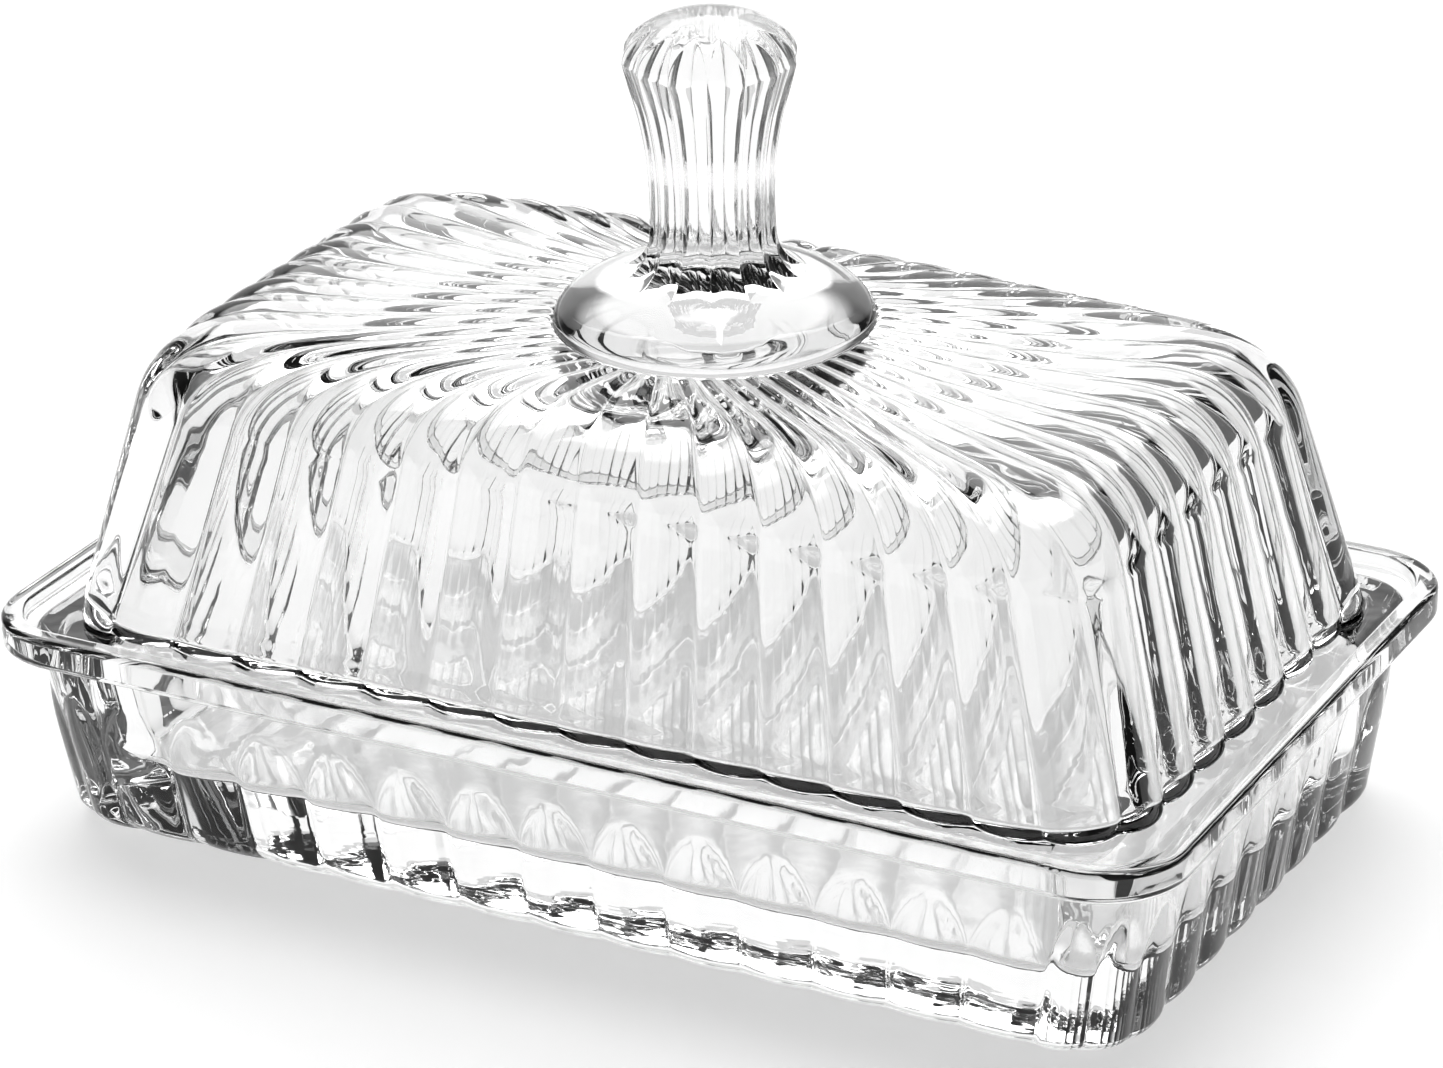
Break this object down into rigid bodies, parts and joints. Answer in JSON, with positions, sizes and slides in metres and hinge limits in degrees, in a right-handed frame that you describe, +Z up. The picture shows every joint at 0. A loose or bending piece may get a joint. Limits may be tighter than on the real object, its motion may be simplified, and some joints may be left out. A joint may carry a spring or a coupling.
{
  "type": "butter dish",
  "caption": "Clear pressed-glass butter dish: a lobed rectangular dish with a flanged rim and a ribbed, domed lift-off cover with a fluted knob.",
  "frame": {"origin": "on the table, under the middle of the dish's foot", "axes": "+Z up through the knob, +X along the long side of the dish, +Y towards a long side"},
  "size_m": [0.2, 0.1216, 0.1314],
  "materials": {
    "dish_glass": "clear colourless pressed glass, fire-polished and glossy",
    "cover_glass": "clear colourless pressed glass, fire-polished and glossy"
  },
  "bodies": {
    "dish": {"dish": "dish_glass"},
    "cover": {"cover": "cover_glass"}
  },
  "joints": [
    {"name": "cover_lift", "type": "slide", "parent": "dish", "child": "cover", "axis": [0, 0, 1], "range_m": [0, 0.12]}
  ]
}
